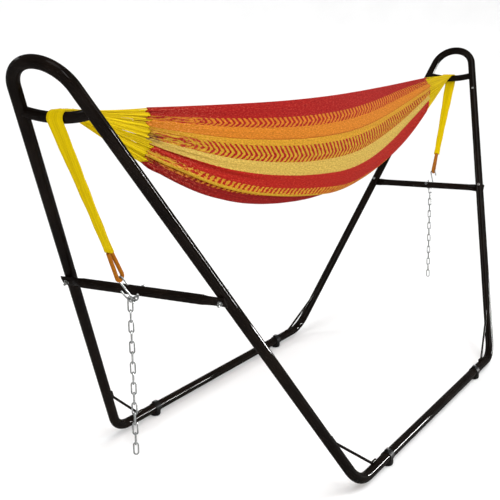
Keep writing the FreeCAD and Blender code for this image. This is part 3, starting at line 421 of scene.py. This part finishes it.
def net_height(g, along, across):
    """Height of the crossing threads of the net."""
    first = g.math("DIVIDE", along, NET_ALONG)
    second = g.math("DIVIDE", across, NET_ACROSS)
    rows = [g.math("ABSOLUTE", g.math("SINE", g.math("MULTIPLY", way, math.pi)))
            for way in (g.math("ADD", first, second), g.math("SUBTRACT", first, second))]
    return g.math("MULTIPLY", *rows)


def dark_patch_share(g, along, band, streak):
    """How much dark brown shows in a patch on the near side of end a."""
    off = g.math("DIVIDE", g.math("ADD", along, DARK_PATCH_AT), DARK_PATCH_LONG)
    side = g.math("SUBTRACT", g.math("MULTIPLY", band, KEEL), DARK_PATCH_BAND)
    side = g.math("DIVIDE", side, DARK_PATCH_WIDE)
    reach = g.math("SQRT", g.math("ADD", g.math("MULTIPLY", off, off), g.math("MULTIPLY", side, side)))
    near = g.math("SUBTRACT", 1.0, reach, clamp=True)
    return g.math("MULTIPLY", g.math("MULTIPLY", near, 2.2),
                  g.math("MULTIPLY_ADD", streak, 0.5, 0.45, clamp=True), clamp=True)


# How much of the winding's tone comes from painted shade between its turns, from its fibres and from the change
# turn by turn.
WHIPPING_TONES = (0.45, 0.25, 0.4)
TURN_CLOUD = 0.31


def whipping_material():
    """Orange cord wound turn by turn, with painted shade between the turns."""
    g = Graph("orange_whipping")
    along, around = g.uv("cord")
    turn = g.math("SUBTRACT", g.math("DIVIDE", along, WHIPPING_PITCH), around)
    # Light on the turns and dark between them: painted shade.
    turn_groove_shade = g.math("ABSOLUTE", g.math("SINE", g.math("MULTIPLY", turn, math.pi)))
    strand = g.noise(1.0, 2.0, g.vector(g.math("MULTIPLY", turn, TURN_CLOUD), 0.0))
    fibre = g.noise(scale=1100.0, detail=3.0)
    tone = mixed_tone(g, (turn_groove_shade, fibre, strand), WHIPPING_TONES)
    colour = g.ramp(tone, ((0.15, (0.13, 0.031, 0.0015)), (0.85, (0.43, 0.145, 0.007))))
    return g.finish(colour, 0.78, g.bump(fibre, 0.3, 0.0003), Specular_IOR_Level=0.05)


# ---------------------------------------------------------------- mesh builders

def link(name, mesh, material, body):
    piece = bpy.data.objects.new(name, mesh)
    bpy.context.scene.collection.objects.link(piece)
    mesh.materials.append(material)
    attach(piece, body)
    return piece


def quads_of(rows, columns, closed):
    """Quads between rows of points; closed joins the last column to the first."""
    wide = columns if closed else columns - 1
    row, column = np.meshgrid(np.arange(rows - 1), np.arange(wide), indexing="ij")
    row, column = row.ravel(), column.ravel()
    beside = (column + 1) % columns
    return np.stack([row * columns + column, (row + 1) * columns + column,
                     (row + 1) * columns + beside, row * columns + beside], axis=1)


def mesh_of(name, points, quads, uvs):
    """A smooth-shaded mesh; uvs maps a layer's name to one pair for each corner."""
    mesh = bpy.data.meshes.new(name)
    mesh.from_pydata([tuple(p) for p in points], [], [tuple(int(i) for i in q) for q in quads])
    for layer, values in uvs.items():
        made = mesh.uv_layers.new(name=layer)
        made.data.foreach_set("uv", np.asarray(values, np.float32).ravel())
    mesh.polygons.foreach_set("use_smooth", [True] * len(mesh.polygons))
    mesh.update()
    return mesh


def frames_along(line):
    """Two unit directions across a line at each of its points, which do not spin along it."""
    tangent = np.gradient(line, axis=0)
    tangent /= np.linalg.norm(tangent, axis=1)[:, None]
    side = np.zeros_like(tangent)
    runs_across = abs(tangent[0][1]) > 0.9
    previous = np.array((1.0, 0.0, 0.0) if runs_across else (0.0, 1.0, 0.0))
    for index, way in enumerate(tangent):
        previous = previous - way * previous.dot(way)
        previous /= np.linalg.norm(previous)
        side[index] = previous
    return side, np.cross(tangent, side)


def tube_parts(line, radius, sides):
    """Points, faces and corner UVs of a closed tube; radius is a number or a (row, side) table."""
    line = np.asarray(line, float)
    side, other = frames_along(line)
    angle = np.arange(sides) * 2 * math.pi / sides
    wide = np.broadcast_to(np.asarray(radius, float), (len(line), sides))[:, :, None]
    ring = side[:, None] * np.cos(angle)[None, :, None] + other[:, None] * np.sin(angle)[None, :, None]
    points = (line[:, None] + ring * wide).reshape(-1, 3)
    quads = quads_of(len(line), sides, True)
    along = np.concatenate([[0], np.cumsum(np.linalg.norm(np.diff(line, axis=0), axis=1))])
    row, column = quads[:, 0] // sides, quads[:, 0] % sides
    share = np.stack([column, column, column + 1, column + 1], axis=1) / sides
    reach = np.stack([along[row], along[row + 1], along[row + 1], along[row]], axis=1)
    return points, quads, np.stack([reach, share], axis=2).reshape(-1, 2)


def tubes_mesh(name, lines, radius, sides):
    """Several tubes as one mesh, each closed by a fan at both ends."""
    mesh = bpy.data.meshes.new(name)
    points, faces, uvs, count = [], [], [], 0
    for number, line in enumerate(lines):
        p, q, uv = tube_parts(line, radius, sides)
        uv[:, 0] += number * CORD_PHASE
        caps = [(len(p), (np.arange(sides) + 1) % sides, np.arange(sides)),
                (len(p) + 1, len(p) - sides + np.arange(sides),
                 len(p) - sides + (np.arange(sides) + 1) % sides)]
        points += [p, np.asarray(line)[[0, -1]]]
        faces += [tuple(int(i) + count for i in quad) for quad in q]
        uvs.append(uv)
        for middle, first, second in caps:
            faces += [(middle + count, int(a) + count, int(b) + count)
                      for a, b in zip(first, second)]
            uvs.append(np.zeros((3 * sides, 2)))
        count += len(p) + 2
    mesh.from_pydata([tuple(p) for p in np.concatenate(points)], [], faces)
    mesh.uv_layers.new(name="cord").data.foreach_set(
        "uv", np.concatenate(uvs).astype(np.float32).ravel())
    mesh.polygons.foreach_set("use_smooth", [True] * len(mesh.polygons))
    mesh.update()
    return mesh


def smoothstep(low, high, value):
    share = np.clip((value - low) / (high - low), 0.0, 1.0)
    return share * share * (3 - 2 * share)


# ---------------------------------------------------------------- the bed

BED_LOW, BED_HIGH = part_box("hammock_bed")
BED_HALF = BED_HIGH.x
RIM_END = BED_HIGH.z
RIM_MIDDLE = 1.308
BOTTOM = BED_LOW.z
END_DEPTH = 0.165
HALF_OPEN = 0.104
END_HALF = 0.027
FOLD_GAP = 0.013
STATIONS = 420
FRONT_COLUMNS = 84
TURN_COLUMNS = 5
BACK_COLUMNS = 90
# Share of the bed's depth at which its near side folds under, from end a to end b.
LIP_AT = ((-1.0, 0.84), (-0.86, 0.83), (-0.68, 0.87), (-0.55, 0.885), (-0.37, 0.905), (-0.15, 0.94),
          (0.05, 0.982), (0.18, 0.993), (1.0, 0.993))
# Places among the stripes of the folded edge and of the cloth that comes out from under it.
LIP_BAND = 0.986
UNDER_LIP = 1.016
# Half the stretch over which the lip's share is evened out.
LIP_BLUR = 0.04
# How far back the fold runs round the section, the least its gap shrinks to, and the angles past
# the lip between which the gap closes.
BACK_RUN = 0.1875
FOLD_GAP_LEAST = 0.45
GAP_CLOSES = (0.02, 0.45)
# Where the cloth counts as keel, as a share of the depth, and the angle past the bottom up to
# which the near side's stripes run on toward it.
KEEL_OVER = (0.93, 1.0)
KEEL_PAST = 0.02
BOTTOM_POWER = 2.3
FAR_RIM_DROP = 0.030
RIM_LIFT = 0.0125
RIM_LIFT_OVER = (-0.5, 0.4)
END_B_SHORT = 0.018
# The near rim stops shorter at end b, fading out over these places among the stripes.
END_B_RIM_SHORT = 0.075
RIM_SHORT_OVER = (0.06, 0.24)
# The red stripe by the fold stops short at end a, between these places.
END_A_RED_SHORT = 0.026
RED_SHORT_FROM = (0.74, 0.79)
RED_SHORT_TO = (0.90, 0.95)
CLIMB_OVER = (-0.4, 1.2)
# How far the stripes climb the sides on the way to end b: a place among them and the climb there.
STRIPE_CLIMB = ((0.0, 0.08), (0.64, 0.13), (1.0, -0.09), (1.4, 0.0))
CLOTH_THICK = 0.0026
# Creases along the cloth: place among the stripes, depth, width, and the stretch they run over.
CREASES = ((0.392, 0.0036, 0.0075, -1.2, 0.75), (0.845, 0.0050, 0.014, -1.2, -0.45),
           (0.105, 0.0040, 0.014, 0.35, 1.2), (0.50, 0.0026, 0.012, 0.1, 1.2))


def bed_shape(part):
    """Height of the rim, depth and half width of the bed at a share of the way along it."""
    part = np.clip(part, -1.0, 1.0)
    rim = RIM_MIDDLE + (RIM_END - RIM_MIDDLE) * part ** 2 + RIM_LIFT * smoothstep(*RIM_LIFT_OVER, part)
    bottom = BOTTOM + (RIM_END - END_DEPTH - BOTTOM) * np.abs(part) ** BOTTOM_POWER
    half = END_HALF + (HALF_OPEN - END_HALF) * np.cos(math.pi * part / 2) ** 2
    return rim, rim - bottom, half


def bed_section(part):
    """One section of the cloth: points (y, z), normals, places among the stripes, and angles."""
    rim, depth, half = bed_shape(part)
    shares, lips = zip(*LIP_AT)
    lip = np.interp([part - LIP_BLUR, part, part + LIP_BLUR], shares, lips).mean()
    lip_angle = math.asin(lip)
    scale = depth / (RIM_MIDDLE - BOTTOM)
    back_run = BACK_RUN * scale

    front = np.linspace(0.0, lip_angle, FRONT_COLUMNS)
    turn = np.linspace(0.0, math.pi, TURN_COLUMNS + 2)[1:-1]
    inner_angle = lip_angle - back_run
    back = np.linspace(lip_angle, inner_angle, TURN_COLUMNS)
    layer = np.linspace(inner_angle, math.pi, BACK_COLUMNS)

    angle = np.concatenate([front, np.full(len(turn), lip_angle), back,
                            np.full(len(turn), inner_angle), layer])
    gap = FOLD_GAP * (FOLD_GAP_LEAST + (1 - FOLD_GAP_LEAST) * scale)
    inset = np.concatenate([
        np.zeros(len(front)), gap * 0.25 * (1 - np.cos(turn)), np.full(len(back), gap * 0.5),
        gap * (0.5 + 0.25 * (1 - np.cos(turn))),
        gap * (1 - smoothstep(*GAP_CLOSES, layer - lip_angle))])
    bulge = np.concatenate([
        np.zeros(len(front)), gap * 0.25 * np.sin(turn), np.zeros(len(back)),
        -gap * 0.25 * np.sin(turn), np.zeros(len(layer))])

    flat = half * np.cos(angle)
    low = depth * np.sin(angle)
    normal = np.stack([-depth * np.cos(angle), -half * np.sin(angle)], axis=1)
    normal /= np.linalg.norm(normal, axis=1)[:, None]
    along = np.stack([half * np.sin(angle), -depth * np.cos(angle)], axis=1)
    along /= np.linalg.norm(along, axis=1)[:, None]
    points = np.stack([-flat, rim - low], axis=1) - normal * inset[:, None] + along * bulge[:, None]
    drop = FAR_RIM_DROP * scale * smoothstep(math.pi / 2, math.pi, angle)
    points[:, 1] -= drop

    far = np.sin(layer)
    keel = smoothstep(*KEEL_OVER, far)
    to_keel = smoothstep(inner_angle, math.pi / 2 + KEEL_PAST, layer)
    under = np.where(layer < math.pi / 2, UNDER_LIP + (KEEL - UNDER_LIP) * to_keel,
                     far * (1 - keel) + keel * (1.0 + (KEEL - 1.0) * keel))
    band = np.concatenate([LIP_BAND * np.sin(front) / lip,
                           np.full(2 * len(turn) + len(back), LIP_BAND), under])
    return points, normal, band, angle


# Gathers across the cloth: how many, how deep, where they start, and how they drift and lean.
GATHERS = ((8.5, 1.0, 0.0, 3.0, 0.0), (17.3, 0.6, 1.1, -5.0, 0.0), (29.0, 0.4, 2.7, 0.0, 4.0))
GATHER_MIDDLE = 0.0004
GATHER_END = 0.0026
GATHER_POWER = 5
CREASE_FADE = 0.15
# The bed's slow sway from side to side: how deep, and how many whole waves along it.
SLUMP = 0.004
SLUMP_WAVES = 2.3


def pleats(part, band, angle):
    """How far the gathers and creases push the cloth out, for a whole section."""
    gather = GATHER_MIDDLE + GATHER_END * abs(part) ** GATHER_POWER
    drift = 0.5 * math.sin(2.1 * part) + 0.3 * math.sin(5.3 * part + 1.0)
    wave = 0.0
    for count, deep, start, drifts, leans in GATHERS:
        wave = wave + deep * np.sin(2 * math.pi * count * band + start + drifts * drift + leans * part)
    crease = 0.0
    for place, deep, wide, low, high in CREASES:
        present = smoothstep(low, low + CREASE_FADE, part)
        present = present * (1 - smoothstep(high - CREASE_FADE, high, part))
        crease = crease + deep * present * np.exp(-((band - place) / wide) ** 2)
    sway = SLUMP_WAVES * math.pi * part + 0.8 * np.sin(angle)
    slump = SLUMP * np.sin(sway) * np.sin(angle) ** 2
    return gather * wave - crease + slump * (1 - abs(part) ** 2)


# Ragged ends: teeth and uneven lengths across the cloth, how deep each is, and the excess at end a.
TEETH = 34
TOOTH = 0.010
LENGTHS = 60
UNEVEN = 0.016
END_A_MORE = 0.004


def ragged(columns, end):
    """How far past the bed's end each column of the cloth reaches."""
    place = np.linspace(0.0, 1.0, columns)
    teeth = 2 * np.abs((place * TEETH) % 1.0 - 0.5) - 0.5
    step = RNG.uniform(-1.0, 1.0, LENGTHS)
    jumps = np.interp(place * (LENGTHS - 1), np.arange(LENGTHS), step)
    return TOOTH * teeth + UNEVEN * jumps + (END_A_MORE if end < 0 else 0.0)


def make_bed(material):
    middle_section = bed_section(0.0)
    columns = len(middle_section[0])
    low, high = ragged(columns, -1), ragged(columns, 1)
    band = middle_section[2]
    red = smoothstep(*RED_SHORT_FROM, band) * (1 - smoothstep(*RED_SHORT_TO, band))
    near_rim = (1 - smoothstep(*RIM_SHORT_OVER, band)) * (np.arange(columns) < columns // 2)
    low = -BED_HALF - low + END_A_RED_SHORT * red
    high = BED_HALF - END_B_SHORT + high - END_B_RIM_SHORT * near_rim
    points = np.zeros((STATIONS, columns, 3))
    normals = np.zeros((STATIONS, columns, 2))
    bands = np.zeros((STATIONS, columns))
    for row, share in enumerate(np.linspace(0.0, 1.0, STATIONS)):
        part = -1.0 + 2.0 * share
        section, normal, band, angle = bed_section(part)
        section = section + normal * pleats(part, band, angle)[:, None]
        points[row, :, 0] = low + (high - low) * share
        points[row, :, 1:] = section
        climb = np.interp(band, *zip(*STRIPE_CLIMB)) * smoothstep(*CLIMB_OVER, points[row, :, 0])
        bands[row] = band + climb
        normals[row] = normal
    quads = quads_of(STATIONS, columns, False)
    flat = points.reshape(-1, 3)
    across = np.zeros((STATIONS, columns))
    across[:, 1:] = np.cumsum(np.linalg.norm(np.diff(points[STATIONS // 2], axis=0), axis=1))[None]
    corners = quads.ravel()
    along = flat[:, 0][corners]
    mesh = mesh_of("hammock_cloth", flat, quads, {
        "cloth": np.stack([along, across.ravel()[corners]], axis=1),
        "stripes": np.stack([along, np.minimum(bands.ravel()[corners] / KEEL, 1.0)], axis=1)})
    cloth = link("hammock_cloth", mesh, material, "hammock")
    solid = cloth.modifiers.new("thread_thickness", "SOLIDIFY")
    solid.thickness = CLOTH_THICK
    solid.offset = 0.0
    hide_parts("hammock_bed")
    return cloth, points, normals


# ---------------------------------------------------------------- end cords, ropes and loops

BAR_RADIUS = 0.016
ROPE_GAP = 0.0012
ROPE_THICK = 0.011
ROPE_WIDTH = 0.056
ROPE_LOW_WIDTH = 0.031
# The cords lie flatter on the bar than the solid that stands for them.
ROPE_FLAT = 0.0054
SADDLE_X = 1.6271
SWING_Z = JOINTS["hammock_swing"]["pos_m"][2]
ROPE_OUT = BAR_RADIUS + ROPE_GAP + ROPE_THICK / 2
ROPE_LEAD = 0.030
FAN_CORDS = 150
FAN_BUNCHES = 9
FAN_STATION = 4
FAN_INSET = 0.0030
FAN_RADIUS = 0.0019
# The fan's cords: sides and points of each tube, its sag and sideways drift, how far short of the
# bundle's start the cords stop, and how far the outer ones stay inside the bundle's edge.
FAN_SIDES = 6
FAN_STEPS = 14
FAN_SAG = 0.004
FAN_DRIFT = 0.0022
FAN_PAST = 0.001
FAN_EDGE = 0.003
# How strongly the cords bunch: everywhere, and on top of that near the rims at each end, which
# fades out over these shares of the way in from a rim.
BUNCH_OVER = (0.10, 0.22)
BUNCH_ALL = 0.0005
BUNCH_RIM = {"a": 0.0145, "b": 0.002}
ROPE_CORDS = 18
ROPE_RADIUS = 0.0024
ROPE_SIDES = 8
ROPE_PAST = 0.002
# Shares of the rope's length over which it narrows, thickens and begins to sway.
NARROWS_OVER = (0.08, 0.95)
THICKENS_OVER = (0.3, 1.0)
SWAYS_OVER = (0.1, 0.3)
ROPE_SWAY = 0.0009
WHIPPING_PITCH = 0.0021
WRAP_DIAMETER = 0.013
WRAP_RADIUS = 0.013
WRAP_LENGTH = 0.112
# Along the rope from the S-hook's joint to the middle of the loop's lower bend.
WRAP_CENTRE = 0.0902
# Half the gap between the loop's legs where they meet, the height of a turn's ridge, and how
# finely the loop is drawn: points to a stretch, rows to a turn, and sides.
WRAP_LEG_GAP = 0.0003
WRAP_RIDGE = 0.0007
WRAP_STEPS = 60
WRAP_ROWS = 7
WRAP_SIDES = 20


def rope_lines(end):
    """The taut line from the bar down to the chain: its direction and the S-hook's joint on it."""
    name = "s_hook_%s_turn" % ("a" if end < 0 else "b")
    way = np.array(JOINTS[name]["axis"], float)
    base = np.array(JOINTS[name]["pos_m"], float)
    return way, base


def rope_path(end):
    """Centreline of the flat bundle from the fan's tip, over the bar and down to the loop."""
    way, _ = rope_lines(end)
    low_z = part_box("end_rope_%s" % ("a" if end < 0 else "b"))[0].z
    centre = np.array((end * SADDLE_X, 0.0, SWING_Z - ROPE_OUT))
    out_angle = math.atan2(way[2], end * way[0]) - math.pi / 2
    over = BAR_RADIUS + ROPE_GAP + ROPE_FLAT / 2
    run_in = [centre + np.array((-end * ROPE_LEAD * s, 0.0, over)) for s in np.linspace(1, 0, 5)[:-1]]
    arc = [centre + over * np.array((end * math.cos(a), 0.0, math.sin(a)))
           for a in np.linspace(math.pi / 2, out_angle, 16)]
    top = centre + ROPE_OUT * np.array((end * math.cos(out_angle), 0.0, math.sin(out_angle)))
    low = top - way * ((top[2] - low_z) / way[2] - ROPE_PAST)
    down = [arc[-1] + (low - arc[-1]) * s for s in np.linspace(0, 1, 26)[1:]]
    return np.array(run_in + arc + down)


def make_rope(end_name, end, material):
    """Two layers of cords side by side, spread flat over the bar and drawn together below."""
    path = rope_path(end)
    side, up = frames_along(path)
    along = np.concatenate([[0], np.cumsum(np.linalg.norm(np.diff(path, axis=0), axis=1))])
    share = along / along[-1]
    width = (ROPE_WIDTH + (ROPE_LOW_WIDTH - ROPE_WIDTH) * smoothstep(*NARROWS_OVER, share)) / 2 - ROPE_RADIUS
    thick = (ROPE_FLAT + (ROPE_THICK - ROPE_FLAT) * smoothstep(*THICKENS_OVER, share)) / 2 - ROPE_RADIUS
    lines = []
    for layer in (-1, 1):
        for number in range(ROPE_CORDS):
            place = (number + 0.25 * (1 + layer)) / (ROPE_CORDS - 0.5) * 2 - 1
            swell = smoothstep(*SWAYS_OVER, share)
            wobble = ROPE_SWAY * np.sin(9 * share * math.pi + number * 2.1 + layer) * swell
            lines.append(path + side * (place * width + wobble)[:, None] + up * (layer * thick)[:, None])
    mesh = tubes_mesh("rope_%s" % end_name, lines, ROPE_RADIUS, ROPE_SIDES)
    rope = link("rope_bundle_%s" % end_name, mesh, material, "stand")
    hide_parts("end_rope_%s" % end_name)


def make_fan(end_name, end, cloth_points, cloth_normals, material):
    """Cords from all round the bed's end to the bundle on the saddle bar."""
    station = FAN_STATION if end < 0 else -1 - FAN_STATION
    starts = cloth_points[station].copy()
    starts[:, 1:] -= cloth_normals[station] * FAN_INSET
    drop = (ROPE_THICK - ROPE_FLAT) / 2
    tip = np.array((end * (SADDLE_X - ROPE_LEAD - FAN_PAST), 0.0, SWING_Z - drop))
    steps = np.linspace(0.0, 1.0, FAN_STEPS)
    lines = []
    for number in range(FAN_CORDS):
        share = (number + 0.5) / FAN_CORDS
        # Near the rims the cords leave the cloth in small bunches with thinner places between them.
        by_rim = 1.0 - smoothstep(*BUNCH_OVER, min(share, 1.0 - share))
        bunching = BUNCH_ALL + BUNCH_RIM[end_name] * by_rim
        bunched = share + bunching * math.sin(2 * math.pi * FAN_BUNCHES * share)
        start = starts[int(np.clip(bunched, 0.0, 1.0) * (len(starts) - 1))]
        across = -math.cos(math.pi * share)
        finish = tip + np.array((0.0, across * (ROPE_WIDTH / 2 - FAN_EDGE),
                                 RNG.uniform(-0.35, 0.35) * ROPE_FLAT))
        sag = -FAN_SAG * np.sin(math.pi * steps) * RNG.uniform(0.2, 1.2)
        drift = FAN_DRIFT * np.sin(math.pi * steps) * RNG.uniform(-1, 1)
        line = start[None] * (1 - steps)[:, None] + finish[None] * steps[:, None]
        line[:, 2] += sag
        line[:, 1] += drift
        lines.append(line)
    mesh = tubes_mesh("fan_%s" % end_name, lines, FAN_RADIUS, FAN_SIDES)
    fan = bpy.data.objects.new("end_cord_fan_%s" % end_name, mesh)
    bpy.context.scene.collection.objects.link(fan)
    mesh.materials.append(material)
    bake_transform(fan)
    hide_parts("end_cords_%s" % end_name)


def make_whipping(end_name, end, material):
    """The loop under its winding, whose turns stand out as ridges."""
    way, base = rope_lines(end)
    out = np.array((float(end), 0.0, 0.0))
    normal = out - way * out.dot(way)
    normal /= np.linalg.norm(normal)
    centre = base + way * WRAP_CENTRE
    leg = WRAP_LENGTH - WRAP_RADIUS - WRAP_DIAMETER / 2
    top_gap = WRAP_DIAMETER / 2 + WRAP_LEG_GAP
    slant = math.asin((WRAP_RADIUS - top_gap) / leg)
    arc = [centre + WRAP_RADIUS * (normal * math.cos(a) + way * math.sin(a))
           for a in np.linspace(-math.pi - slant, slant, WRAP_STEPS)]
    first, last = arc[0], arc[-1]
    down_first = -normal * math.sin(slant) - way * math.cos(slant)
    down_last = normal * math.sin(slant) - way * math.cos(slant)
    line = ([first - down_first * leg * s for s in np.linspace(1, 0, WRAP_STEPS)[:-1]] + arc
            + [last - down_last * leg * s for s in np.linspace(0, 1, WRAP_STEPS)[1:]])
    line = np.array(line)
    along = np.concatenate([[0], np.cumsum(np.linalg.norm(np.diff(line, axis=0), axis=1))])
    fine = np.arange(0, along[-1], WHIPPING_PITCH / WRAP_ROWS)
    line = np.stack([np.interp(fine, along, line[:, k]) for k in range(3)], axis=1)
    turn = fine[:, None] / WHIPPING_PITCH - np.arange(WRAP_SIDES)[None] / WRAP_SIDES
    radius = WRAP_DIAMETER / 2 - WRAP_RIDGE + WRAP_RIDGE * np.abs(np.sin(math.pi * turn))
    mesh = tubes_mesh("whipping_%s" % end_name, [line], radius, WRAP_SIDES)
    loop = link("whipped_loop_%s" % end_name, mesh, material, "stand")
    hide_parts("wrapped_loop_%s" % end_name)


# ---------------------------------------------------------------- everything

make_camera()
make_studio()
HARD = {"tube_finish": tube_material(), "zinc": zinc_material(), "foot_plastic": foot_material()}
for entry in frame["record"]["subparts"]:
    if entry["material_slot"] in HARD:
        node = frame["nodes"][entry["node"]]
        node.data.materials.clear()
        node.data.materials.append(HARD[entry["material_slot"]])

yellow = cord_material("yellow_cord", (0.43, 0.28, 0.001), (0.80, 0.60, 0.004))
bed_cloth, bed_points, bed_normals = make_bed(weave_material())
orange = whipping_material()
for end_name, end in ENDS.items():
    make_rope(end_name, end, yellow)
    make_fan(end_name, end, bed_points, bed_normals, yellow)
    make_whipping(end_name, end, orange)
